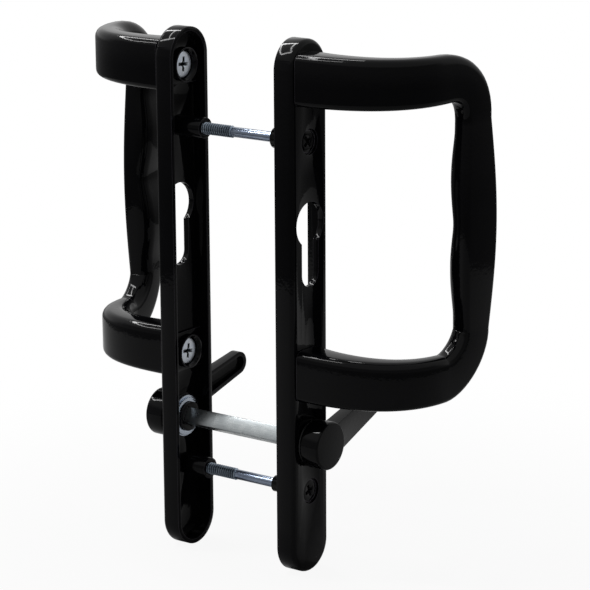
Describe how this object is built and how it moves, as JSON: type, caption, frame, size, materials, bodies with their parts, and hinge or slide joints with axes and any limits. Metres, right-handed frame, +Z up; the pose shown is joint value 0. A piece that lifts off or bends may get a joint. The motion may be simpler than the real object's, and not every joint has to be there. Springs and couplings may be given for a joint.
{
  "type": "patio door handle",
  "caption": "Sliding patio door handle set with slim hollow-backed plates, cranked D pulls and small levers on a square spindle, clamped through the door by long screws.",
  "frame": {"origin": "on the outside plate's rim where it meets the door, in the middle of the wall at the plate's foot", "axes": "+X leaves the door's outer face, +Y is the side the pulls reach to, +Z up the plates"},
  "size_m": [0.1755, 0.0604, 0.2118],
  "materials": {
    "gloss black": "gloss powder coat on zinc casting",
    "zinc plate": "bright zinc plated steel",
    "nylon": "black nylon"
  },
  "bodies": {
    "door_set": {"outside_backplate": "gloss black", "inside_backplate": "gloss black", "outside_pull": "gloss black", "inside_pull": "gloss black", "outside_pull_screw_upper": "zinc plate", "outside_pull_screw_lower": "zinc plate", "inside_pull_screw_upper": "zinc plate", "inside_pull_screw_lower": "zinc plate", "fixing_screw_upper": "zinc plate", "fixing_screw_lower": "zinc plate", "outside_lever_washer": "zinc plate", "inside_lever_washer": "zinc plate", "outside_lever_bush": "nylon", "inside_lever_bush": "nylon"},
    "levers": {"spindle": "zinc plate", "outside_lever": "gloss black", "inside_lever": "gloss black", "outside_retaining_ring": "zinc plate", "inside_retaining_ring": "zinc plate"}
  },
  "joints": [
    {"name": "lever_turn", "type": "hinge", "parent": "door_set", "child": "levers", "pos_m": [-0.02475, 0, 0.0525], "axis": [1, 0, 0], "range_deg": [-65, 25]}
  ]
}
